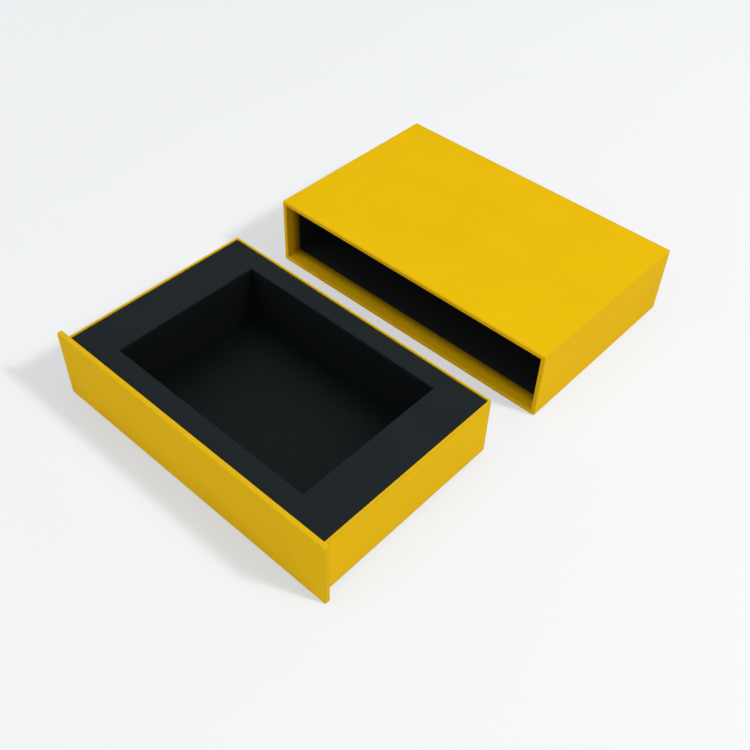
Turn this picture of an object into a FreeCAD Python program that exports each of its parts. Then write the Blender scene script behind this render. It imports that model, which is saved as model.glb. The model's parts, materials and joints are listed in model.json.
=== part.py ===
import FreeCAD, Part
import os
import re
import Sketcher

"""A sliding drawer gift box: a rigid greyboard sleeve, and a tray drawer with a front panel.

Every board is its own sheet, with the paper that covers it as another solid, as such a box is
glued up. The sleeve stands on the ground with its mouth towards -Y. The drawer lies in front
of the mouth, drawn right out, and slides in along +Y. Lengths are millimetres. The origin is
the middle of the sleeve's underside, +X is to the right and +Z is up.
"""

SIZES = {
    # the sleeve, outside
    "sleeve_width": 220.0,
    "sleeve_depth": 140.0,
    "sleeve_height": 50.0,
    # sheet thicknesses: sleeve board, front panel board, tray board, covering paper, corner tape
    "sleeve_board": 2.5,
    "panel_board": 3.0,
    "tray_board": 1.0,
    "paper": 0.25,
    "stay_tape": 0.12,
    "edge_radius": 0.5,
    # how far the papers are turned over an edge
    "mouth_turn_in": 12.0,
    "base_turn_under": 15.0,
    "base_sheet_inset": 2.0,
    "panel_turn_over": 12.0,
    "rim_turn_in": 10.0,
    "stay_leg": 9.0,
    # running clearances between the tray and the sleeve
    "side_clearance": 0.9,
    "top_clearance": 0.6,
    "floor_clearance": 0.3,
    "rear_clearance": 2.7,
    "mouth_gap": 0.3,
    # the foam insert and its window
    "insert_clearance": 0.1,
    "insert_recess": 0.5,
    "window_side_margin": 28.5,
    "window_end_margin": 13.5,
    # how far the drawer stands out of the mouth, from the tray's back to the mouth
    "drawn_gap": 45.0,
}

doc = FreeCAD.newDocument("drawer_gift_box")
sheet = doc.addObject("Spreadsheet::Sheet", "Sizes")
for row, (alias, millimetres) in enumerate(SIZES.items(), start=1):
    sheet.set(f"A{row}", alias)
    sheet.set(f"B{row}", str(millimetres))
    sheet.setAlias(f"B{row}", alias)
doc.recompute()


# ---- formulas ----------------------------------------------------------------------------


def bind(piece, prop, formula):
    """Bind a property to a formula, with the sheet's name put before each alias."""
    piece.setExpression(prop, re.sub(r"[a-z_]+", lambda word: "Sizes." + word.group(), formula))


def inset(span, low, high=None):
    """A span with its two faces moved inwards, each by a formula."""
    return f"{span[0]} + ({low})", f"{span[1]} - ({high or low})"


def start(span, length):
    """The first stretch of a span."""
    return span[0], f"{span[0]} + ({length})"


def end(span, length):
    """The last stretch of a span."""
    return f"{span[1]} - ({length})", span[1]


# ---- shapes ------------------------------------------------------------------------------


def place(piece, x, y, z):
    """Put a piece's corner at the low faces of its three spans."""
    for axis, span in zip("xyz", (x, y, z)):
        bind(piece, "Placement.Base." + axis, span[0])


def block(name, x, y, z):
    """A box that fills three spans."""
    piece = doc.addObject("Part::Box", name)
    for prop, span in zip(("Length", "Width", "Height"), (x, y, z)):
        bind(piece, prop, f"({span[1]}) - ({span[0]})")
    place(piece, x, y, z)
    return piece


def rectangle(body, name, low, size):
    """A sketch on the body's XY plane: a rectangle from its low corner, bound to formulas."""
    sketch = body.newObject("Sketcher::SketchObject", name)
    planes = [item for item in body.Origin.OriginFeatures if item.Role == "XY_Plane"]
    sketch.AttachmentSupport = [(planes[0], "")]
    sketch.MapMode = "FlatFace"
    corners = [FreeCAD.Vector(a, b, 0) for a, b in ((1, 1), (2, 1), (2, 2), (1, 2))]
    for first, last in zip(corners, corners[1:] + corners[:1]):
        sketch.addGeometry(Part.LineSegment(first, last))
    for line in range(4):
        sketch.addConstraint(Sketcher.Constraint("Coincident", line, 2, (line + 1) % 4, 1))
    for line, way in enumerate(("Horizontal", "Vertical", "Horizontal", "Vertical")):
        sketch.addConstraint(Sketcher.Constraint(way, line))
    named = (
        ("low_x", "DistanceX", (-1, 1, 0, 1), low[0]),
        ("low_y", "DistanceY", (-1, 1, 0, 1), low[1]),
        ("width", "DistanceX", (0, 1, 0, 2), size[0]),
        ("depth", "DistanceY", (1, 1, 1, 2), size[1]),
    )
    for label, kind, points, formula in named:
        index = sketch.addConstraint(Sketcher.Constraint(kind, *points, 1.0))
        sketch.renameConstraint(index, label)
        bind(sketch, "Constraints." + label, formula)
    return sketch


def slab(name, x, y, z):
    """A body whose pad fills three spans."""
    body = doc.addObject("PartDesign::Body", name)
    size = [f"({span[1]}) - ({span[0]})" for span in (x, y, z)]
    pad = body.newObject("PartDesign::Pad", name + "_pad")
    pad.Profile = rectangle(body, name + "_outline", ("0", "0"), size)
    bind(pad, "Length", size[2])
    place(body, x, y, z)
    return body


def rounded(name, x, y, z, radius):
    """A slab with all its edges rounded."""
    body = slab(name, x, y, z)
    pad = body.Tip
    doc.recompute()
    fillet = body.newObject("PartDesign::Fillet", name + "_edges")
    fillet.Base = (pad, [""])
    fillet.UseAllEdges = True
    bind(fillet, "Radius", radius)
    return body


def cut(name, base, *tools):
    """The base with each tool cut from it."""
    for index, tool in enumerate(tools, start=1):
        piece = doc.addObject("Part::Cut", name if index == len(tools) else f"{name}_cut_{index}")
        piece.Base = base
        piece.Tool = tool
        base = piece
    return base


def common(name, base, tool):
    """What the base and the tool share."""
    piece = doc.addObject("Part::Common", name)
    piece.Base = base
    piece.Tool = tool
    return piece


def fuse(name, *shapes):
    """The shapes as one."""
    piece = doc.addObject("Part::MultiFuse", name)
    piece.Shapes = list(shapes)
    return piece


# ---- spans that the pieces share ---------------------------------------------------------

SLEEVE_X = ("-sleeve_width / 2", "sleeve_width / 2")
SLEEVE_Y = ("-sleeve_depth / 2", "sleeve_depth / 2")
SLEEVE_Z = ("0", "sleeve_height")
MOUTH = SLEEVE_Y[0]

# the wrap stands on the base sheet, the boards' core is inside the wrap, and the bay is what
# the boards and their lining leave
WRAP_Z = inset(SLEEVE_Z, "paper", "0")
CORE_X = inset(SLEEVE_X, "paper")
CORE_Y = inset(SLEEVE_Y, "paper")
CORE_Z = inset(WRAP_Z, "paper")
LINED_X = inset(CORE_X, "sleeve_board")
LINED_Y = inset(CORE_Y, "0", "sleeve_board")
LINED_Z = inset(CORE_Z, "sleeve_board")
BAY_X = inset(LINED_X, "paper")
BAY_Y = (MOUTH, f"{LINED_Y[1]} - paper")
BAY_Z = inset(LINED_Z, "paper")

# the tray is the bay less its clearances, and stands in front of the mouth
TRAY_X = inset(BAY_X, "side_clearance")
TRAY_Z = inset(BAY_Z, "floor_clearance", "top_clearance")
TRAY_LENGTH = f"({BAY_Y[1]} - ({BAY_Y[0]}) - mouth_gap - rear_clearance)"
TRAY_Y = (f"{MOUTH} - drawn_gap - {TRAY_LENGTH}", f"{MOUTH} - drawn_gap")
TRAY_CORE_X = inset(TRAY_X, "paper")
TRAY_CORE_Y = inset(TRAY_Y, "paper")
TRAY_CORE_Z = inset(TRAY_Z, "paper")
TRAY_INSIDE_X = inset(TRAY_CORE_X, "tray_board")
TRAY_INSIDE_Y = inset(TRAY_CORE_Y, "tray_board")
TRAY_INSIDE_Z = inset(TRAY_CORE_Z, "tray_board", "0")
RIM_X = inset(TRAY_INSIDE_X, "paper")
RIM_Y = inset(TRAY_INSIDE_Y, "paper")

# the front panel has the sleeve's outline, and is glued to the tray's front
PANEL_Y = (f"{TRAY_Y[0]} - panel_board - 2 * paper", TRAY_Y[0])

INSERT_X = inset(RIM_X, "insert_clearance")
INSERT_Y = inset(RIM_Y, "insert_clearance")
INSERT_Z = (f"{TRAY_INSIDE_Z[0]} + paper", f"{TRAY_Z[1]} - insert_recess")


# ---- the sleeve --------------------------------------------------------------------------


def corner_stays(name, core, outer, x, y, z, runs_along):
    """Four tapes, each folded over one edge of the core, under the wrap."""
    spans = {"x": x, "y": y, "z": z}
    legs = []
    across = [axis for axis in "xyz" if axis != runs_along]
    for first in (start, end):
        for second in (start, end):
            corner = dict(spans)
            corner[across[0]] = first(spans[across[0]], "stay_leg")
            corner[across[1]] = second(spans[across[1]], "stay_leg")
            corner[runs_along] = inset(spans[runs_along], "2 * edge_radius")
            legs.append(block(f"{name}_corner_{len(legs)}", **corner))
    corners = fuse(name + "_corners", *legs)
    return cut(name, common(name + "_folded", outer, corners), core)


def grown(spans, by):
    """Spans with their faces moved outwards by a formula."""
    return [inset(span, f"-({by})") for span in spans]


def sleeve():
    """The sleeve's boards, corner tapes, papers and lining.

    The infill levels the underside between the margins that the wrap turns under.
    """
    core_spans = (CORE_X, CORE_Y, CORE_Z)
    tape_spans = grown(core_spans, "stay_tape")
    core = rounded("sleeve_core", *core_spans, "edge_radius")
    tape = rounded("sleeve_tape_form", *tape_spans, "edge_radius + stay_tape")
    wrapped = rounded("sleeve_wrap_form", SLEEVE_X, SLEEVE_Y, WRAP_Z, "edge_radius + paper")
    boards = {
        "sleeve_top_board": (CORE_X, CORE_Y, end(CORE_Z, "sleeve_board")),
        "sleeve_bottom_board": (CORE_X, CORE_Y, start(CORE_Z, "sleeve_board")),
        "sleeve_left_board": (start(CORE_X, "sleeve_board"), CORE_Y, LINED_Z),
        "sleeve_right_board": (end(CORE_X, "sleeve_board"), CORE_Y, LINED_Z),
        "sleeve_back_board": (LINED_X, end(CORE_Y, "sleeve_board"), LINED_Z),
    }
    pieces = [common(name, core, block(name + "_sheet", *at)) for name, at in boards.items()]
    stays = corner_stays("sleeve_corner_stays", core, tape, *tape_spans, "y")
    under_x = inset(SLEEVE_X, "base_turn_under")
    under_y = (CORE_Y[0], f"{SLEEVE_Y[1]} - base_turn_under")
    infill = block("sleeve_base_infill", under_x, under_y, start(WRAP_Z, "paper"))
    wrap = sleeve_wrap(wrapped, core, stays, infill)
    pieces += [stays, wrap, infill, sleeve_base_sheet()]
    lining_y = (f"{MOUTH} + mouth_turn_in", LINED_Y[1])
    tube = block("lining_outside", LINED_X, lining_y, LINED_Z)
    pieces.append(cut("sleeve_lining", tube, block("lining_inside", BAY_X, lining_y, BAY_Z)))
    pieces.append(block("sleeve_back_lining", BAY_X, end(LINED_Y, "paper"), BAY_Z))
    return pieces


def sleeve_wrap(wrapped, core, stays, infill):
    """The yellow sheet: top, sides and back, turned in at the mouth and under the bottom."""
    lip = block("wrap_mouth", BAY_X, start(SLEEVE_Y, "paper"), (SLEEVE_Z[0], BAY_Z[1]))
    shell = cut("wrap_shell", wrapped, core, stays, lip, infill)
    turned_y = (CORE_Y[0], f"{MOUTH} + mouth_turn_in")
    turned = block("wrap_turned", LINED_X, turned_y, LINED_Z)
    clear = block("wrap_turned_clear", BAY_X, turned_y, (LINED_Z[0], BAY_Z[1]))
    return fuse("sleeve_wrap", shell, cut("wrap_turn_in", turned, clear))


def sleeve_base_sheet():
    """The flat sheet under the wrap's margins, turned in over the bottom board at the mouth."""
    flat_x = inset(SLEEVE_X, "base_sheet_inset")
    flat_y = (MOUTH, f"{SLEEVE_Y[1]} - base_sheet_inset")
    lip_z = (SLEEVE_Z[0], BAY_Z[0])
    return fuse(
        "sleeve_base_sheet",
        block("base_flat", flat_x, flat_y, start(SLEEVE_Z, "paper")),
        block("base_lip", BAY_X, start(SLEEVE_Y, "paper"), lip_z),
        block("base_turn_in", BAY_X, start(SLEEVE_Y, "mouth_turn_in"), start(LINED_Z, "paper")),
    )


# ---- the drawer --------------------------------------------------------------------------


def front_panel():
    """The thick board, the paper over it, and the adhesive sheet that holds it to the tray."""
    board_spans = [inset(span, "paper") for span in (SLEEVE_X, PANEL_Y, SLEEVE_Z)]
    board = rounded("front_panel_board", *board_spans, "edge_radius")
    form = rounded("panel_wrap_form", SLEEVE_X, PANEL_Y, SLEEVE_Z, "edge_radius + paper")
    open_x = inset(SLEEVE_X, "panel_turn_over")
    open_z = inset(SLEEVE_Z, "panel_turn_over")
    glued = block("panel_fixing_tape", open_x, end(PANEL_Y, "paper"), open_z)
    return [board, cut("front_panel_wrap", form, board, glued), glued]


def tray():
    """The tray's boards, corner tapes, wrap and floor lining."""
    core_spans = (TRAY_CORE_X, TRAY_CORE_Y, TRAY_CORE_Z)
    tape_spans = grown(core_spans, "stay_tape")
    core = rounded("tray_core", *core_spans, "edge_radius")
    tape = rounded("tray_tape_form", *tape_spans, "edge_radius + stay_tape")
    wrapped = rounded("tray_wrap_form", TRAY_X, TRAY_Y, TRAY_Z, "edge_radius + paper")
    boards = {
        "tray_base_board": (TRAY_CORE_X, TRAY_CORE_Y, start(TRAY_CORE_Z, "tray_board")),
        "tray_front_board": (TRAY_CORE_X, start(TRAY_CORE_Y, "tray_board"), TRAY_INSIDE_Z),
        "tray_back_board": (TRAY_CORE_X, end(TRAY_CORE_Y, "tray_board"), TRAY_INSIDE_Z),
        "tray_left_board": (start(TRAY_CORE_X, "tray_board"), TRAY_INSIDE_Y, TRAY_INSIDE_Z),
        "tray_right_board": (end(TRAY_CORE_X, "tray_board"), TRAY_INSIDE_Y, TRAY_INSIDE_Z),
    }
    pieces = [common(name, core, block(name + "_sheet", *at)) for name, at in boards.items()]
    stays = corner_stays("tray_corner_stays", core, tape, *tape_spans, "z")
    pieces += [stays, tray_wrap(wrapped, core, stays)]
    floor = start(TRAY_INSIDE_Z, "paper")
    pieces.append(block("tray_floor_lining", TRAY_INSIDE_X, TRAY_INSIDE_Y, floor))
    return pieces


def tray_wrap(wrapped, core, stays):
    """The yellow sheet over the tray's outside and rim, turned down inside the walls."""
    opening = block("tray_opening", RIM_X, RIM_Y, end(TRAY_Z, "paper"))
    shell = cut("tray_shell", wrapped, core, stays, opening)
    turned_z = end(TRAY_CORE_Z, "rim_turn_in")
    turned = block("tray_turned", TRAY_INSIDE_X, TRAY_INSIDE_Y, turned_z)
    clear = block("tray_turned_clear", RIM_X, RIM_Y, turned_z)
    return fuse("tray_wrap", shell, cut("tray_turn_in", turned, clear))


def foam_insert():
    """The foam that fills the tray, with a window cut right through it."""
    body = slab("foam_insert", INSERT_X, INSERT_Y, INSERT_Z)
    doc.recompute()
    width, depth = (f"({span[1]}) - ({span[0]})" for span in (INSERT_X, INSERT_Y))
    size = (f"{width} - 2 * window_side_margin", f"{depth} - 2 * window_end_margin")
    low = ("window_side_margin", "window_end_margin")
    uncut = body.Shape.Volume
    window = body.newObject("PartDesign::Pocket", "insert_window")
    window.Profile = rectangle(body, "window_outline", low, size)
    window.Type = "ThroughAll"
    window.Reversed = True
    doc.recompute()
    if body.Shape.Volume >= uncut:
        raise RuntimeError("the insert's window cuts nothing")
    return body


def main():
    nodes = sleeve() + front_panel() + tray() + [foam_insert()]
    doc.recompute()
    for item in doc.Objects:
        if "Invalid" in item.State or "Error" in item.State:
            raise RuntimeError(f"{item.Label} did not recompute")
    os.makedirs("parts", exist_ok=True)
    for node in nodes:
        if node.Shape.isNull() or not node.Shape.isValid():
            raise RuntimeError(f"{node.Label} has no valid shape")
        node.Shape.exportStep(f"parts/{node.Label}.step")
        print(node.Label, len(node.Shape.Solids), round(node.Shape.Volume, 1))


main()
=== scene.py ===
import json
from math import cos, pi, radians, sin

import bpy
import numpy as np
from bpy.props import FloatProperty, FloatVectorProperty, PointerProperty
from mathutils import Matrix, Vector


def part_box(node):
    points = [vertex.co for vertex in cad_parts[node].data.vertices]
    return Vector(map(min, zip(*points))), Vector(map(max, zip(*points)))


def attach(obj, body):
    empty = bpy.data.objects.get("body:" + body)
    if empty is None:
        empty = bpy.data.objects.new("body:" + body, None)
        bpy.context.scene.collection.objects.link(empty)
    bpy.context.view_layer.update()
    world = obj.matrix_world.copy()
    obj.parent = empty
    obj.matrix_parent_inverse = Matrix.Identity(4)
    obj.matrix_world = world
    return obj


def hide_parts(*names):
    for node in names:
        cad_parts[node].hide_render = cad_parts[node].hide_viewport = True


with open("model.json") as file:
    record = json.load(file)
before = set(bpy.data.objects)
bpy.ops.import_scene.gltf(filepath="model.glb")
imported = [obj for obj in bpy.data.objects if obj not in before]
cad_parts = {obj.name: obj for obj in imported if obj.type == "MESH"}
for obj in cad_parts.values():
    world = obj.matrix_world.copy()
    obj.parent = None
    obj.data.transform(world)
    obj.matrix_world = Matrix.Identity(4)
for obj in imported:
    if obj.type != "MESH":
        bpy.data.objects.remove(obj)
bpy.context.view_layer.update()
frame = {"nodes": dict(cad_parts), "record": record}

# A drawer gift box of greyboard covered in yellow paper, with a black foam insert.
#
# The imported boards, tapes and linings keep their shapes and get their finishes. The papers that
# show and the foam are made again here, with their folds, laps and soft edges. Each paper is an
# open sheet in the shape of its outer face, thickened inwards.

bl_info = {
    "name": "Drawer Gift Box",
    "version": (1, 0, 0),
    "blender": (4, 5, 0),
    "location": "View3D > Sidebar > Gift Box",
    "description": "Dresses a paper-covered drawer box in its papers and foam, in a small studio",
    "category": "Object",
}

MM = 0.001
PAPER = (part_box("sleeve_base_infill")[1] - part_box("sleeve_base_infill")[0]).z

# quads in a rounded corner, and the tightest that a corner gets
CORNER_STEPS = 6
TIGHTEST = 0.3 * MM
# how close a face or a point may be to an edge and still count as on it
TOUCH = 0.01 * MM
SLACK = 0.05 * MM
# the width of the slope by which one paper steps over another
STEP = 0.05 * MM
# how far from an edge, in mm, the rows stand that carry a flat sheet
FLAT_ROWS = (14, 6, 2.8)
# past the reach of any fold
FAR_OFF = 10 * MM
# how deep the tray's paper goes inside, and how far in the sheet under the tray ends
RIM_DEPTH = 10.25 * MM
UNDER_INSET = 2 * MM
# how much rounder the tray's upright corners are than its folds, and where on its back, as a
# share of half its width, the lap of its paper stands
CORNER_EXTRA = 0.2 * MM
LAP_PLACE = 0.85
# the upright corners of the foam and of its well
FOAM_CORNER = 1.2 * MM
WELL_CORNER = 0.6 * MM
# the foam's top keeps even steps within the border; it is uneven down to the skin's depth, in
# waves of this length, and is cut below one and a half edge radii, where its walls are darkened as
# painted shade
FOAM_BORDER = 5 * MM
FOAM_SKIN = 1.5 * MM
FOAM_WAVE_LENGTH = 95 * MM
FOAM_WALL_SHADE = 1.5

# a Mix node's own colour sockets
MIX_FIRST = 6
MIX_SECOND = 7
MIX_RESULT = 2

# the camera: where it stands, the way it looks and leans, its focal length and frame in mm
CAMERA_PLACE = (0.30491, -0.4437, 0.45021)
CAMERA_AZIMUTH = 41.07
CAMERA_ELEVATION = 45.64
CAMERA_ROLL = 2.05
CAMERA_LENS = 47.42
CAMERA_FRAME = 36

# the lamps face one point; each has an azimuth from +X and an elevation in degrees, a distance
# and a width in metres, its power and its tint
LAMPS = (
    ("key", 17, 46, 2.0, 0.6, 15.3, (1.08, 1.0, 0.86)),
    ("overhead", 90, 89, 1.9, 2.2, 17.1, (0.965, 1.0, 1.04)),
    ("front", -110, 35, 2.2, 1.6, 9.5, (1.04, 1.0, 0.96)),
)
# this one lights only the table that is seen, and draws the box's shadow on it
TABLE_LAMP = ("table", 19, 45, 4.0, 0.4, 165, (1.0, 1.0, 1.0))
LAMP_TARGET = (0, -0.12, 0)
# the light from all round, and the backdrop that is seen there
SKY_COLOUR = (0.96, 1.0, 1.05)
SKY_STRENGTH = 0.305
BACKDROP_COLOUR = (0.95, 0.97, 0.985)
# half the table's side, and how far under it the table lies that throws light back
TABLE_HALF = 3.0
TABLE_GAP = 0.5 * MM
# of the table that is seen: the share of its colour that takes light and shadow, and its glow,
# near the box and far off, and the distances in metres between which they change
TABLE_LIT = (0.25, 0.05)
TABLE_GLOW = (0.545, 0.88)
TABLE_FADE = (0.3, 1.6)


# ---- surfaces ----------------------------------------------------------------------------


def arc(centre, radius, first, last, steps=6):
    """Points on a circle: the centre plus the radius times cosine and sine, at even angles."""
    angles = np.radians(np.linspace(first, last, steps + 1))
    return np.array(centre) + radius * np.column_stack([np.cos(angles), np.sin(angles)])


def side_stops(length, near, middle=9):
    """Fractions along a straight side: at set distances from both ends, and even between."""
    ends = np.array(near) * MM / length
    inner = np.linspace(ends[-1], 1 - ends[-1], middle + 2)[1:-1]
    return np.concatenate([ends, inner, 1 - ends[::-1]])


def rounded_rings(half_a, half_b, radius, near=(0.5, 1.5, 4.0, 10.0)):
    """Rounded rectangles, one row each, as an array of rows by points by two.

    A corner is a quarter circle about the point that lies one radius in from both sides. The
    straight sides join the corners, with points at the fractions that side_stops gives. The
    order is from the first axis towards the second.
    """
    half_a, half_b, radius = (np.asarray(v, float).reshape(-1, 1) for v in (half_a, half_b, radius))
    quarter = np.linspace(0, pi / 2, CORNER_STEPS + 1)
    corners = []
    for turn, (sign_a, sign_b) in enumerate(((1, 1), (-1, 1), (-1, -1), (1, -1))):
        angle = quarter + turn * pi / 2
        a = sign_a * (half_a - radius) + radius * np.cos(angle)
        b = sign_b * (half_b - radius) + radius * np.sin(angle)
        corners.append(np.stack([a, b], axis=-1))
    parts = []
    for turn in range(4):
        here, there = corners[turn][:, -1:], corners[(turn + 1) % 4][:, :1]
        length = 2 * float((half_b if turn % 2 else half_a).max())
        fraction = side_stops(length, near).reshape(1, -1, 1)
        parts += [corners[turn], here * (1 - fraction) + there * fraction]
    return np.concatenate(parts, axis=1)


def grid_faces(rows, columns, around=True, closed=False):
    """The quads between neighbouring rows of a grid of points."""
    index = np.arange(rows * columns).reshape(rows, columns)
    if around:
        index = np.concatenate([index, index[:, :1]], axis=1)
    if closed:
        index = np.concatenate([index, index[:1]], axis=0)
    quads = np.stack([index[:-1, :-1], index[:-1, 1:], index[1:, 1:], index[1:, :-1]], axis=-1)
    return quads.reshape(-1, 4)


def make_mesh(name, points, quads, caps=(), sharp=32):
    """A smooth mesh of the quads and caps, without the points that none of them use."""
    points = points.reshape(-1, 3)
    used = np.unique(np.concatenate([quads.ravel(), *caps]))
    faces = np.searchsorted(used, quads).tolist()
    faces += [np.searchsorted(used, cap).tolist() for cap in caps]
    mesh = bpy.data.meshes.new(name)
    mesh.from_pydata(points[used], [], faces)
    mesh.polygons.foreach_set("use_smooth", np.ones(len(faces), bool))
    mesh.set_sharp_from_angle(angle=radians(sharp))
    mesh.update()
    return mesh


def mark_folds(mesh, low, high, reach, most=1.0, rim=None):
    """Write how near each point is to an edge of a box, as the attribute fold.

    Along each axis the distance to the nearer face is taken. The squares of the two smallest
    are added, which gives the distance to the edge. Fold is its bell curve over the reach,
    times the most that it may be; the yellow paper is darkened by it as painted shade. Along
    the axis of a thin rim the distance counts as none, so that the rim counts as a fold, and
    takes that painted shade, all the way across.
    """
    points = np.empty(len(mesh.vertices) * 3)
    mesh.vertices.foreach_get("co", points)
    points = points.reshape(-1, 3)
    gaps = np.minimum(np.abs(points - low), np.abs(high - points))
    if rim is not None:
        gaps[:, rim] = 0
    gaps.sort(axis=1)
    fold = most * np.exp(-(gaps[:, 0] ** 2 + gaps[:, 1] ** 2) / reach**2)
    mesh.attributes.new("fold", "FLOAT", "POINT").data.foreach_set("value", fold.astype(np.float32))


def waves(a, b, seed, length):
    """Gentle unevenness from -1 to 1: three crossed sine waves of different lengths and turns."""
    total = np.zeros_like(a)
    for step in range(3):
        turn = seed + 2.1 * step
        along = a * cos(turn) + b * sin(turn)
        total += np.sin(2 * pi * along / (length * (1 - 0.22 * step)) + seed * (step + 1))
    return total / 3


def add_piece(mesh, body, finish, *nodes, thickness=None):
    """An object that rides on a body, wears a finish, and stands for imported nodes."""
    mesh.materials.append(material(finish))
    piece = bpy.data.objects.new(mesh.name, mesh)
    bpy.context.scene.collection.objects.link(piece)
    if thickness:
        solid = piece.modifiers.new("thickness", "SOLIDIFY")
        solid.thickness = thickness
        solid.offset = -1
        solid.use_even_offset = True
    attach(piece, body)
    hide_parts(*nodes)
    return piece


# ---- finishes ----------------------------------------------------------------------------


class Nodes:
    """The node tree of a material or a world, with short ways to add and join nodes."""

    def __init__(self, owner, shader="Principled BSDF"):
        owner.use_nodes = True
        self.owner = owner
        self.tree = owner.node_tree
        self.shader = self.tree.nodes[shader]
        self.place = self.tree.nodes.new("ShaderNodeTexCoord").outputs["Object"]

    def join(self, source, target):
        self.tree.links.new(source, target)

    def node(self, kind, **values):
        made = self.tree.nodes.new(kind)
        for name, value in values.items():
            setattr(made, name, value)
        return made

    def stretched(self, scale):
        """The object's own coordinates, scaled along each axis."""
        mapping = self.node("ShaderNodeMapping")
        mapping.inputs["Scale"].default_value = scale
        self.join(self.place, mapping.inputs["Vector"])
        return mapping.outputs["Vector"]

    def noise(self, scale, detail=2.0, roughness=0.5, where=None):
        made = self.node("ShaderNodeTexNoise")
        made.inputs["Scale"].default_value = scale
        made.inputs["Detail"].default_value = detail
        made.inputs["Roughness"].default_value = roughness
        self.join(where or self.place, made.inputs["Vector"])
        return made.outputs["Fac"]

    def ramp(self, value, low, high, to_low=0.0, to_high=1.0):
        """A value moved from one range to another, and held at the ends."""
        made = self.node("ShaderNodeMapRange")
        self.join(value, made.inputs["Value"])
        made.inputs["From Min"].default_value = low
        made.inputs["From Max"].default_value = high
        made.inputs["To Min"].default_value = to_low
        made.inputs["To Max"].default_value = to_high
        return made.outputs["Result"]

    def math(self, operation, first, second):
        made = self.node("ShaderNodeMath", operation=operation)
        for socket, value in zip(made.inputs, (first, second)):
            if isinstance(value, (int, float)):
                socket.default_value = value
            else:
                self.join(value, socket)
        return made.outputs["Value"]

    def mix(self, factor, first, second):
        """Two colours mixed by a factor. A colour is three numbers or another node's output."""
        made = self.node("ShaderNodeMix", data_type="RGBA")
        self.join(factor, made.inputs["Factor"])
        for socket, value in ((made.inputs[MIX_FIRST], first), (made.inputs[MIX_SECOND], second)):
            if isinstance(value, tuple):
                socket.default_value = (*value, 1.0)
            else:
                self.join(value, socket)
        return made.outputs[MIX_RESULT]

    def bump(self, height, depth, under=None):
        """A height from 0 to 1 as relief of a depth in metres."""
        made = self.node("ShaderNodeBump")
        made.inputs["Strength"].default_value = 1.0
        made.inputs["Distance"].default_value = depth
        self.join(height, made.inputs["Height"])
        if under is not None:
            self.join(under, made.inputs["Normal"])
        return made.outputs["Normal"]

    def seen(self):
        """1 where it is looked at, straight, in a reflection or through glass, and else 0."""
        rays = self.node("ShaderNodeLightPath").outputs
        either = self.math("ADD", rays["Is Camera Ray"], rays["Is Glossy Ray"])
        return self.math("MINIMUM", self.math("ADD", either, rays["Is Transmission Ray"]), 1.0)

    def finish(self, colour, roughness, normal, specular):
        self.join(colour, self.shader.inputs["Base Color"])
        self.join(roughness, self.shader.inputs["Roughness"])
        self.join(normal, self.shader.inputs["Normal"])
        self.shader.inputs["Specular IOR Level"].default_value = specular
        return self.owner


def new_finish(name):
    """The nodes of a new material, named for its finish."""
    return Nodes(bpy.data.materials.new(name + "_finish"))


def shade(colour, factor):
    """A colour made lighter or darker by a factor."""
    return tuple(min(1.0, channel * factor) for channel in colour)


def yellow_paper(colour):
    """Dyed uncoated paper: cloudy colour, fine fibres, a soft tooth, painted shade and wear at folds.

    Near folds and edges the colour is darker, which is painted shade, with small rubbed spots that
    are paler, which is wear.
    """
    n = new_finish("yellow_paper")
    clouds = n.noise(26, detail=3.0)
    fibres = n.noise(1.0, detail=3.0, where=n.stretched((900, 2600, 1500)))
    cross = n.noise(1.0, detail=3.0, where=n.stretched((2600, 900, 1500)))
    grain = n.noise(4200, detail=1.0)
    base = n.mix(n.ramp(clouds, 0.35, 0.65), shade(colour, 0.975), shade(colour, 1.02))
    fleck = n.ramp(n.math("ADD", fibres, cross), 0.85, 1.15)
    base = n.mix(n.math("MULTIPLY", fleck, 0.35), base, shade(colour, 1.10))
    fold = n.node("ShaderNodeAttribute", attribute_name="fold").outputs["Fac"]
    rubbed = n.math("MULTIPLY", fold, n.ramp(n.noise(420, detail=4.0), 0.40, 0.62))
    pale = tuple(channel + 0.12 * (1 - channel) for channel in colour)
    # painted shade: the paper is darker towards folds and edges, by the fold weight
    base = n.mix(fold, base, shade(colour, 0.85))
    base = n.mix(n.math("MULTIPLY", rubbed, 0.16), base, pale)
    roughness = n.ramp(grain, 0.3, 0.7, 0.66, 0.80)
    tooth = n.math("ADD", n.math("MULTIPLY", grain, 0.5), n.math("MULTIPLY", fleck, 0.5))
    board = n.bump(n.noise(120, detail=2.0), 0.00008)
    return n.finish(base, roughness, n.bump(tooth, 0.000025, board), 0.02)


def black_paper(colour, name="black_paper", specular=0.075):
    """Black lining paper, a little smoother than the yellow."""
    n = new_finish(name)
    fibres = n.noise(1.0, detail=3.0, where=n.stretched((1100, 2900, 1800)))
    base = n.mix(n.ramp(fibres, 0.35, 0.7), shade(colour, 0.85), shade(colour, 1.5))
    roughness = n.ramp(n.noise(900), 0.3, 0.7, 0.40, 0.52)
    return n.finish(base, roughness, n.bump(fibres, 0.00003), specular)


def bay_paper(colour):
    """The black paper that lines the sleeve's bay: duller, and lighter in colour as painted light in
    the dark bay.
    """
    return black_paper(colour, "bay_paper", 0.02)


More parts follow.
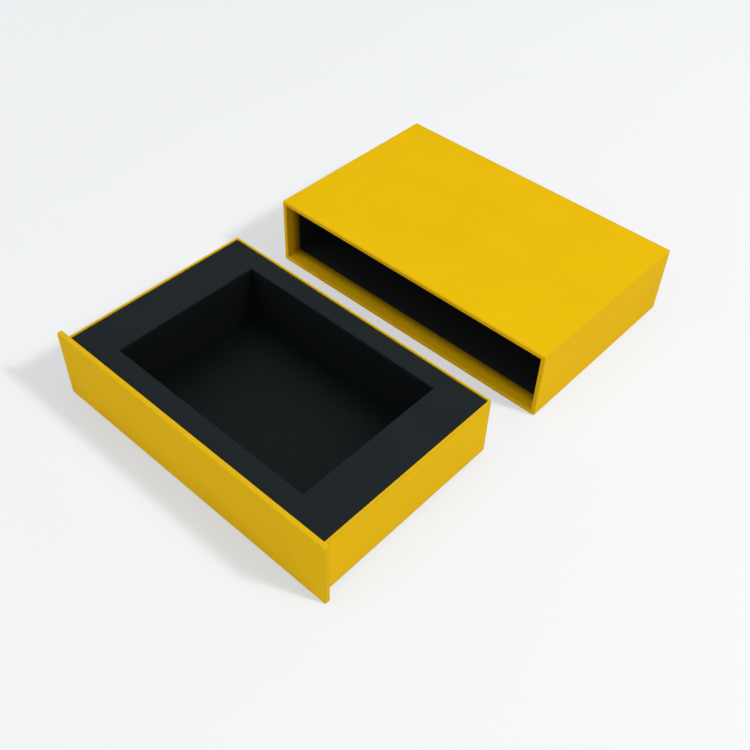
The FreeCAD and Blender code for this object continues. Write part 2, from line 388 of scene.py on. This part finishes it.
def black_foam(colour):
    """Closed-cell foam: fine cells, cloudy colour, a dull skin, and walls darkened as painted shade.
    """
    n = new_finish("black_foam")
    cells = n.node("ShaderNodeTexVoronoi", feature="F1")
    cells.inputs["Scale"].default_value = 2300
    n.join(n.place, cells.inputs["Vector"])
    cell = cells.outputs["Distance"]
    base = n.mix(n.ramp(n.noise(45, detail=3.0), 0.35, 0.65), shade(colour, 0.9), shade(colour, 1.15))
    base = n.mix(n.ramp(cell, 0.1, 0.6, 0.0, 0.45), base, shade(colour, 1.8))
    cut = n.node("ShaderNodeAttribute", attribute_name="cut").outputs["Fac"]
    # painted shade: the walls below the top, in the well and round the outside, are darker
    base = n.mix(cut, base, shade(colour, 0.52))
    roughness = n.ramp(cell, 0.0, 0.7, 0.72, 0.86)
    soft = n.bump(n.noise(260, detail=2.0), 0.00006)
    return n.finish(base, roughness, n.bump(cell, 0.00005, soft), 0.08)


def greyboard(colour):
    """Recycled board: grey-brown with light and dark fibre flecks."""
    n = new_finish("greyboard")
    flecks = n.noise(700, detail=4.0, roughness=0.7)
    base = n.mix(n.ramp(flecks, 0.4, 0.65), shade(colour, 0.75), shade(colour, 1.2))
    roughness = n.ramp(n.noise(300), 0.3, 0.7, 0.85, 0.95)
    return n.finish(base, roughness, n.bump(flecks, 0.00008), 0.1)


def plain_sheet(name, colour):
    """Tape, levelling paper or adhesive sheet, with a faint fibre."""
    n = new_finish(name)
    fibres = n.noise(1.0, detail=3.0, where=n.stretched((700, 2200, 1400)))
    base = n.mix(n.ramp(fibres, 0.35, 0.7), shade(colour, 0.9), shade(colour, 1.08))
    roughness = n.ramp(fibres, 0.3, 0.7, 0.6, 0.75)
    return n.finish(base, roughness, n.bump(fibres, 0.00003), 0.2)


FINISHES = {
    "yellow_paper": yellow_paper,
    "black_paper": black_paper,
    "bay_paper": bay_paper,
    "black_foam": black_foam,
    "greyboard": greyboard,
}
# the sleeve's bay linings take the lighter copy of the black paper, which is painted light
BAY_LININGS = {"sleeve_lining": "bay_paper", "sleeve_back_lining": "bay_paper"}


def material(name):
    """The named finish, made once from the scene's colours."""
    made = bpy.data.materials.get(name + "_finish")
    if made:
        return made
    colour = tuple(getattr(bpy.context.scene.gift_box_colours, name))
    return FINISHES[name](colour) if name in FINISHES else plain_sheet(name, colour)


def table_finish(colour):
    """The table as it is seen: matte, pale, the faintest bit cloudy.

    Most of its paleness is its own glow, which keeps the table even round the box and out to
    the backdrop. The rest takes light and shadow as usual.
    """
    n = new_finish("table")
    away = n.node("ShaderNodeVectorMath", operation="LENGTH")
    n.join(n.place, away.inputs[0])
    far = n.ramp(away.outputs["Value"], *TABLE_FADE)
    near_colour, far_colour = (shade(colour, share) for share in TABLE_LIT)
    cloud = n.ramp(n.noise(1.3, detail=2.0), 0.3, 0.7, -0.02, 0.02)
    lit = n.mix(n.math("ADD", far, cloud), near_colour, far_colour)
    n.shader.inputs["Emission Color"].default_value = (*BACKDROP_COLOUR, 1.0)
    n.join(n.ramp(far, 0, 1, *TABLE_GLOW), n.shader.inputs["Emission Strength"])
    roughness = n.ramp(n.noise(3.0), 0.3, 0.7, 0.85, 0.9)
    return n.finish(lit, roughness, n.bump(n.noise(900), 0.00001), 0.1)


def bounce_finish(colour):
    """The table as the box feels it: plain matte, it only throws light back."""
    n = new_finish("bounce")
    cloud = n.noise(1.3, detail=2.0)
    base = n.mix(cloud, shade(colour, 0.99), shade(colour, 1.01))
    roughness = n.ramp(cloud, 0.3, 0.7, 0.85, 0.9)
    return n.finish(base, roughness, n.bump(cloud, 0.00001), 0.1)


def sky(world):
    """Soft even light from all round, and a pale backdrop where it is looked at."""
    n = Nodes(world, "Background")
    seen = n.seen()
    light = shade(SKY_COLOUR, SKY_STRENGTH)
    n.join(n.mix(seen, light, BACKDROP_COLOUR), n.shader.inputs["Color"])
    n.shader.inputs["Strength"].default_value = 1.0


# ---- what a user can change --------------------------------------------------------------


def length(name, description, default):
    return FloatProperty(
        name=name,
        description=description,
        default=default,
        min=0.0,
        precision=5,
        subtype="DISTANCE",
        unit="LENGTH",
    )


def colour(name, description, default):
    return FloatVectorProperty(
        name=name,
        description=description,
        default=default,
        size=3,
        min=0.0,
        max=1.0,
        subtype="COLOR",
    )


class GiftBoxSizes(bpy.types.PropertyGroup):
    """Sizes of the folds and soft edges."""

    paper: length("Paper", "Thickness of the covering paper", PAPER)
    fold: length("Fold", "Radius where paper goes round the outside of a board", 0.8 * MM)
    mouth_fold: length("Mouth fold", "Radius on the inner edge of the sleeve's mouth", 0.6 * MM)
    panel_fold: length("Panel fold", "Radius on the front panel's front edges", 0.95 * MM)
    panel_back: length("Panel back fold", "Radius on the front panel's back edges", 0.5 * MM)
    panel_corner: length("Panel corner", "Radius at the front panel's four corners", 1.2 * MM)
    rim_fold: length("Rim fold", "Radius on the inner edge of the tray's rim", 0.55 * MM)
    lap: length("Lap", "Step where one paper laps another", 0.07 * MM)
    well_width: length("Well width", "The foam's well, from side to side", 152 * MM)
    well_length: length("Well length", "The foam's well, from front to back", 103.8 * MM)
    foam_edge: length("Foam edge", "Radius on the foam's outer top edge", 0.9 * MM)
    well_edge: length("Well edge", "Radius on the top edge of the foam's well", 0.6 * MM)
    foam_wave: length("Foam wave", "Unevenness of the foam's top", 0.10 * MM)
    # the reach of the fold weight, which gives both the paper's painted shade and its rubbed wear
    wear_reach: length("Wear reach", "How far from a fold the paper is handled", 1.1 * MM)
    panel_wear_reach: length("Panel wear reach", "The same on the front panel", 0.6 * MM)


class GiftBoxColours(bpy.types.PropertyGroup):
    """Colours of the finishes and the table, as linear values."""

    yellow_paper: colour("Yellow paper", "The covering paper", (0.80, 0.492, 0.0035))
    black_paper: colour("Black paper", "The lining of the tray's floor", (0.0023, 0.0040, 0.0044))
    # lighter than the black paper: painted light in the sleeve's dark bay
    bay_paper: colour("Bay paper", "The linings of the sleeve's bay", (0.0155, 0.0195, 0.0215))
    black_foam: colour("Black foam", "The insert", (0.0085, 0.0118, 0.0132))
    greyboard: colour("Greyboard", "The boards under the paper", (0.30, 0.27, 0.23))
    stay_tape: colour("Stay tape", "The tapes over the boards' corners", (0.42, 0.30, 0.18))
    infill_paper: colour("Infill paper", "The levelling sheet under the base", (0.60, 0.58, 0.54))
    adhesive_sheet: colour("Adhesive sheet", "The sheet behind the front panel", (0.70, 0.68, 0.63))
    table: colour("Table", "The floor of the studio", (0.868, 0.882, 0.898))


# ---- the sleeve --------------------------------------------------------------------------


def sleeve_paper_mesh(sizes):
    """The sheet over the sleeve: a section of (Y, depth) rows, each a rounded rectangle.

    The rows start on the back, come over the back edge and along the outside to the mouth, go
    round the mouth's edge, and end where the turned-in paper stops. At depth d the rectangle
    is the outside one less d on every side. Under the base the sheet is only turned under by a
    margin, and the mouth's lower edge is left to the base's own paper; the little that's left
    of this sheet at the lower corners goes a lap behind it. On the back a sheet a little
    smaller than the board covers the flaps, so its edge stands up by a lap.
    """
    low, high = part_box("sleeve_wrap")
    infill_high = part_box("sleeve_base_infill")[1]
    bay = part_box("sleeve_back_lining")
    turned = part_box("sleeve_lining")[0].y
    wall = bay[0].x - low.x
    inset = high.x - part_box("sleeve_base_sheet")[1].x
    fold, inner = sizes.fold, sizes.mouth_fold
    mouth, back = low.y, high.y
    flap = back - sizes.lap
    section = np.concatenate([
        [[back, d * MM] for d in FLAT_ROWS],
        [[back, inset + STEP], [flap, inset]],
        arc((flap - fold, fold), fold, 0, -90),
        [[back - 2.5 * MM, 0], [back - 6 * MM, 0], [infill_high.y, 0]],
        [[infill_high.y + (mouth - infill_high.y) * t, 0] for t in (0.25, 0.5, 0.75)],
        [[mouth + 6 * MM, 0], [mouth + 2.5 * MM, 0]],
        arc((mouth + fold, fold), fold, -90, -180),
        arc((mouth + inner, wall - inner), inner, 180, 90),
        [[mouth + 1.8 * MM, wall], [mouth + 5 * MM, wall], [turned, wall]],
    ])
    along, depth = section[:, :1], section[:, 1]
    half_x, half_z = (high.x - low.x) / 2, (high.z - low.z) / 2
    reach = half_x - infill_high.x - fold
    rings = rounded_rings(
        half_x - depth,
        half_z - depth,
        np.maximum(fold - depth, TIGHTEST),
        near=(0.5, (wall - fold) / MM, 6.0, reach / MM),
    )
    x, z = rings[..., 0], rings[..., 1] + (high.z + low.z) / 2
    height = np.abs(rings[..., 1])
    beside = np.abs(x) > half_x - half_z + height - TOUCH
    beside &= height < half_z - depth[:, None] - SLACK
    below = rings[..., 1] < wall - half_z
    at_mouth = along < mouth + 2 * SLACK
    y = along + np.where(at_mouth & (beside | below), sizes.lap, 0)
    z = z - np.where(below & (along < turned), sizes.lap * depth[:, None] / wall, 0)
    points = np.stack([x, y, z], axis=-1)
    quads = grid_faces(*x.shape)
    corners = points.reshape(-1, 3)[quads]
    middle = corners.mean(axis=1)
    under = middle[:, 2] < bay[0].z + TOUCH
    between = np.abs(corners[..., 0]).max(axis=1) < bay[1].x + TOUCH
    margin = under & (np.abs(middle[:, 0]) < infill_high.x) & (middle[:, 1] < infill_high.y)
    lip = under & between & (middle[:, 1] < mouth + fold)
    turn_in = under & between & (middle[:, 2] > low.z + wall / 2) & (middle[:, 1] < turned)
    back_cap = np.arange(x.shape[1])[::-1]
    mesh = make_mesh("sleeve_paper", points, quads[~(margin | lip | turn_in)], [back_cap])
    mark_folds(mesh, np.array(low), np.array(high), sizes.wear_reach, most=0.4)
    return mesh


def base_paper_mesh(sizes):
    """The sheet under the sleeve: a section of (Y, Z) rows drawn straight across the width.

    It is flat under the base, goes up over the mouth's lower edge, and turns in on the floor of
    the bay. The part that goes up and in is a little narrower, so that it fits between the walls.
    The sheet isn't folded at its raw edges, so for the folds its box is taken larger there.
    """
    low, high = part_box("sleeve_base_sheet")
    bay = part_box("sleeve_back_lining")
    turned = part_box("sleeve_lining")[0].y
    inner = sizes.mouth_fold
    shares = (0, 0.02, 0.2, 0.4, 0.6, 0.8, 0.97)
    flat = np.array([[high.y + (low.y - high.y) * t, low.z] for t in shares])
    lip = np.concatenate([
        arc((low.y + inner, low.z + inner), inner, -90, -180),
        arc((low.y + inner, high.z - inner), inner, 180, 90),
        [[low.y + 1.8 * MM, high.z], [low.y + 5 * MM, high.z], [turned, high.z]],
    ])
    section = np.concatenate([flat, lip])
    half = np.concatenate([np.full(len(flat), high.x), np.full(len(lip), bay[1].x)])
    across = np.concatenate([[-1, -0.995], np.linspace(-0.98, 0.98, 15), [0.995, 1]])
    x = half[:, None] * across
    y = np.broadcast_to(section[:, :1], x.shape)
    z = np.broadcast_to(section[:, 1:], x.shape)
    points = np.stack([x, y, z], axis=-1)
    mesh = make_mesh("base_paper", points, grid_faces(*x.shape, around=False))
    lowest = np.array(low) - [FAR_OFF, 0, 0]
    highest = np.array(high) + [FAR_OFF, FAR_OFF, 0]
    mark_folds(mesh, lowest, highest, sizes.wear_reach, most=0.4)
    return mesh


# ---- the drawer --------------------------------------------------------------------------


def panel_paper_mesh(sizes):
    """The sheet over the front panel: (Y, depth) rows, each a rounded rectangle.

    The rows start at the inner edge of the margin that is turned onto the back, and go round
    the panel's edge to the front face.
    """
    low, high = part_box("front_panel_wrap")
    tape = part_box("panel_fixing_tape")
    front, behind = sizes.panel_fold, sizes.panel_back
    margin = high.x - tape[1].x
    section = np.concatenate([
        [[high.y, margin], [high.y, margin / 2], [high.y, 2.5 * MM], [high.y, 1.4 * MM]],
        arc((high.y - behind, behind), behind, 0, -90),
        arc((low.y + front, front), front, -90, -180, steps=9),
        [[low.y, d * MM] for d in (2.2, 4, 8, 14)],
    ])
    along, depth = section[:, :1], section[:, 1]
    half_x, half_z = (high.x - low.x) / 2, (high.z - low.z) / 2
    radius = np.maximum(sizes.panel_corner - depth, TIGHTEST)
    rings = rounded_rings(half_x - depth, half_z - depth, radius)
    x, z = rings[..., 0], rings[..., 1] + (high.z + low.z) / 2
    y = np.broadcast_to(along, x.shape)
    points = np.stack([x, y, z], axis=-1)
    front_cap = np.arange(x.shape[1]) + (len(x) - 1) * x.shape[1]
    mesh = make_mesh("panel_paper", points, grid_faces(*x.shape), [front_cap])
    # the panel's top strip and edges count as folds all across, and take the paper's painted shade
    mark_folds(mesh, np.array(low), np.array(high), sizes.panel_wear_reach, most=0.6, rim=1)
    return mesh


def tray_paper_mesh(sizes):
    """The sheet over the tray: (Z, depth) rows, each a rounded rectangle.

    The rows start under the tray, go up its sides and over the rim, and end inside where the
    turned-in paper stops. The sheet's ends meet in an upright lap on the tray's back.
    """
    low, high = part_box("tray_wrap")
    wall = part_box("tray_left_board")[1].x + PAPER - low.x
    turned = high.z - RIM_DEPTH
    flap = low.z + sizes.lap
    fold, inner = sizes.fold, sizes.rim_fold
    section = np.concatenate([
        [[low.z, d * MM] for d in FLAT_ROWS],
        [[low.z, UNDER_INSET + STEP], [flap, UNDER_INSET]],
        arc((flap + fold, fold), fold, 180, 270),
        [[low.z + (high.z - low.z) * t, 0] for t in (0.08, 0.5, 0.92)],
        arc((high.z - fold, fold), fold, -90, 0),
        arc((high.z - inner, wall - inner), inner, 0, 90),
        [[high.z - 2 * MM, wall], [turned, wall]],
    ])
    up, depth = section[:, :1], section[:, 1]
    half_x, half_y = (high.x - low.x) / 2, (high.y - low.y) / 2
    radius = np.maximum(fold + CORNER_EXTRA - depth, TIGHTEST)
    rings = rounded_rings(half_x - depth, half_y - depth, radius)
    x, y = rings[..., 0], rings[..., 1] + (high.y + low.y) / 2
    z = np.broadcast_to(up, x.shape)
    seam = (x < -LAP_PLACE * high.x) & (rings[..., 1] > 0)
    seam &= (up > low.z + fold) & (up < high.z - fold)
    y = np.where(seam & (x > -high.x + 2 * fold), y - sizes.lap, y)
    points = np.stack([x, y, z], axis=-1)
    under_cap = np.arange(x.shape[1])[::-1]
    mesh = make_mesh("tray_paper", points, grid_faces(*x.shape), [under_cap])
    mark_folds(mesh, np.array(low), np.array(high), sizes.wear_reach)
    return mesh


def foam_mesh(sizes):
    """The foam: (Z, share) rows from the outside (share 0) to the well's wall (share 1).

    Each row is a rounded rectangle between the outline and the well. The rows go up the
    outside, over its soft edge, across the top, round the well's edge, down its wall and back
    under. The top sinks by up to the unevenness.
    """
    low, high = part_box("foam_insert")
    centre = (low + high) / 2
    well_x, well_y = sizes.well_width / 2, sizes.well_length / 2
    outer_x, outer_y = (high.x - low.x) / 2, (high.y - low.y) / 2
    edge, well = sizes.foam_edge, sizes.well_edge
    span = outer_x - well_x
    section = np.concatenate([
        [[low.z, 0], [low.z + (high.z - low.z) * 0.5, 0], [high.z - 4 * MM, 0]],
        arc((high.z - edge, edge), edge, -90, 0),
        [[high.z, d * MM] for d in (2, 4)],
        [[high.z, span * t] for t in (0.3, 0.5, 0.7)],
        [[high.z, span - d * MM] for d in (4, 2)],
        arc((high.z - well, span - well), well, 0, 90),
        [[high.z - d * MM, span] for d in (2, 6, 14, 24, 34)],
        [[low.z, span], [low.z, span * 0.5]],
    ])
    up, across = section[:, :1], section[:, 1]
    share = across / span
    half_x = outer_x - across
    near_edge = across < FOAM_BORDER
    near_well = span - across < FOAM_BORDER
    half_y = np.where(near_edge, outer_y - across, outer_y - (outer_y - well_y) * share)
    half_y = np.where(near_well, well_y + (span - across), half_y)
    rings = rounded_rings(half_x, half_y, np.where(share < 0.5, FOAM_CORNER, WELL_CORNER))
    x, y = rings[..., 0], rings[..., 1] + centre.y
    z = np.broadcast_to(up, x.shape).copy()
    sink = sizes.foam_wave * (1 + waves(x, y, 0.7, FOAM_WAVE_LENGTH)) / 2
    z = np.where(up > high.z - FOAM_SKIN, z - sink, z)
    points = np.stack([x, y, z], axis=-1)
    mesh = make_mesh("foam", points, grid_faces(*x.shape, closed=True))
    # the walls below the top, which the foam's finish darkens as painted shade
    cut = np.broadcast_to(up < high.z - FOAM_WALL_SHADE * edge, x.shape).astype(np.float32)
    mesh.attributes.new("cut", "FLOAT", "POINT").data.foreach_set("value", cut.ravel())
    return mesh


# ---- operators ---------------------------------------------------------------------------


class GIFT_BOX_OT_boards(bpy.types.Operator):
    """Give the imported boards, tapes and linings their finishes"""

    bl_idname = "gift_box.boards"
    bl_label = "Boards and linings"

    def execute(self, context):
        for part in frame["record"]["subparts"]:
            mesh = frame["nodes"][part["node"]].data
            mesh.materials.clear()
            mesh.materials.append(material(BAY_LININGS.get(part["node"], part["material_slot"])))
        return {"FINISHED"}


class GIFT_BOX_OT_sleeve_paper(bpy.types.Operator):
    """Cover the sleeve in its yellow paper"""

    bl_idname = "gift_box.sleeve_paper"
    bl_label = "Sleeve paper"

    def execute(self, context):
        sizes = context.scene.gift_box_sizes
        wrap = sleeve_paper_mesh(sizes)
        base = base_paper_mesh(sizes)
        add_piece(wrap, "sleeve", "yellow_paper", "sleeve_wrap", thickness=sizes.paper)
        add_piece(base, "sleeve", "yellow_paper", "sleeve_base_sheet", thickness=sizes.paper)
        return {"FINISHED"}


class GIFT_BOX_OT_panel_paper(bpy.types.Operator):
    """Cover the drawer's front panel in its yellow paper"""

    bl_idname = "gift_box.panel_paper"
    bl_label = "Front panel paper"

    def execute(self, context):
        sizes = context.scene.gift_box_sizes
        wrap = panel_paper_mesh(sizes)
        add_piece(wrap, "drawer", "yellow_paper", "front_panel_wrap", thickness=sizes.paper)
        return {"FINISHED"}


class GIFT_BOX_OT_tray_paper(bpy.types.Operator):
    """Cover the drawer's tray in its yellow paper"""

    bl_idname = "gift_box.tray_paper"
    bl_label = "Tray paper"

    def execute(self, context):
        sizes = context.scene.gift_box_sizes
        wrap = tray_paper_mesh(sizes)
        add_piece(wrap, "drawer", "yellow_paper", "tray_wrap", thickness=sizes.paper)
        return {"FINISHED"}


class GIFT_BOX_OT_foam(bpy.types.Operator):
    """Put the black foam with its well in the tray"""

    bl_idname = "gift_box.foam"
    bl_label = "Foam insert"

    def execute(self, context):
        mesh = foam_mesh(context.scene.gift_box_sizes)
        piece = add_piece(mesh, "drawer", "black_foam", "foam_insert")
        return {"FINISHED"}


def add_lamp(name, azimuth, elevation, distance, width, watts, tint):
    """A square soft lamp that faces the box, placed by its direction and distance from it."""
    a, e = radians(azimuth), radians(elevation)
    away = Vector((cos(e) * cos(a), cos(e) * sin(a), sin(e)))
    data = bpy.data.lights.new(name, "AREA")
    data.shape = "SQUARE"
    data.size = width
    data.energy = watts
    data.color = tint
    lamp = bpy.data.objects.new(name, data)
    lamp.location = Vector(LAMP_TARGET) + away * distance
    lamp.rotation_euler = away.to_track_quat("Z", "Y").to_euler()
    bpy.context.scene.collection.objects.link(lamp)
    return lamp


def add_table(name, height, finish, seen):
    """A square of table at a height, either only seen or only throwing light back."""
    spread = np.array([-TABLE_HALF, TABLE_HALF])
    x, y = np.meshgrid(spread, spread)
    points = np.stack([x, y, np.full_like(x, height)], axis=-1)
    mesh = make_mesh(name, points, grid_faces(*x.shape, around=False))
    mesh.materials.append(finish)
    table = bpy.data.objects.new(name, mesh)
    table.visible_camera = table.visible_glossy = table.visible_transmission = seen
    table.visible_diffuse = not seen
    table.visible_shadow = False
    bpy.context.scene.collection.objects.link(table)
    return table


def add_camera():
    """The camera: it looks along its azimuth and elevation, and leans by its roll."""
    a, e, r = radians(CAMERA_AZIMUTH), radians(CAMERA_ELEVATION), radians(CAMERA_ROLL)
    back = Vector((sin(a) * cos(e), -cos(a) * cos(e), sin(e)))
    level = Vector((cos(a), sin(a), 0))
    upright = back.cross(level)
    right = level * cos(r) + upright * sin(r)
    data = bpy.data.cameras.new("camera")
    data.lens = CAMERA_LENS
    data.sensor_width = CAMERA_FRAME
    camera = bpy.data.objects.new("camera", data)
    turn = Matrix((right, back.cross(right), back)).transposed().to_4x4()
    camera.matrix_world = Matrix.Translation(CAMERA_PLACE) @ turn
    bpy.context.scene.collection.objects.link(camera)
    bpy.context.scene.camera = camera


class GIFT_BOX_OT_studio(bpy.types.Operator):
    """Set the box on a pale table under soft light, and place the camera"""

    bl_idname = "gift_box.studio"
    bl_label = "Studio"

    def execute(self, context):
        colour = tuple(context.scene.gift_box_colours.table)
        table = add_table("table", 0, table_finish(colour), seen=True)
        add_table("table_bounce", -TABLE_GAP, bounce_finish(colour), seen=False)
        for lamp in LAMPS:
            add_lamp(*lamp)
        table_alone = bpy.data.collections.new("table_alone")
        table_alone.objects.link(table)
        add_lamp(*TABLE_LAMP).light_linking.receiver_collection = table_alone
        context.scene.world = bpy.data.worlds.new("studio")
        sky(context.scene.world)
        context.scene.view_settings.view_transform = "Standard"
        add_camera()
        return {"FINISHED"}


class GIFT_BOX_PT_panel(bpy.types.Panel):
    """Sizes, colours and steps of the gift box"""

    bl_idname = "GIFT_BOX_PT_panel"
    bl_label = "Drawer Gift Box"
    bl_space_type = "VIEW_3D"
    bl_region_type = "UI"
    bl_category = "Gift Box"

    def draw(self, context):
        for group in (context.scene.gift_box_sizes, context.scene.gift_box_colours):
            box = self.layout.box()
            for name in group.__annotations__:
                box.prop(group, name)
        for step in STEPS:
            self.layout.operator(step.bl_idname)


STEPS = (
    GIFT_BOX_OT_boards,
    GIFT_BOX_OT_sleeve_paper,
    GIFT_BOX_OT_panel_paper,
    GIFT_BOX_OT_tray_paper,
    GIFT_BOX_OT_foam,
    GIFT_BOX_OT_studio,
)
CLASSES = (GiftBoxSizes, GiftBoxColours, *STEPS, GIFT_BOX_PT_panel)


def register():
    for item in CLASSES:
        bpy.utils.register_class(item)
    bpy.types.Scene.gift_box_sizes = PointerProperty(type=GiftBoxSizes)
    bpy.types.Scene.gift_box_colours = PointerProperty(type=GiftBoxColours)


def unregister():
    del bpy.types.Scene.gift_box_colours
    del bpy.types.Scene.gift_box_sizes
    for item in reversed(CLASSES):
        bpy.utils.unregister_class(item)


def main():
    """Make every piece in order."""
    register()
    bpy.ops.gift_box.boards()
    bpy.ops.gift_box.sleeve_paper()
    bpy.ops.gift_box.panel_paper()
    bpy.ops.gift_box.tray_paper()
    bpy.ops.gift_box.foam()
    bpy.ops.gift_box.studio()


if __name__ == "__main__":
    main()
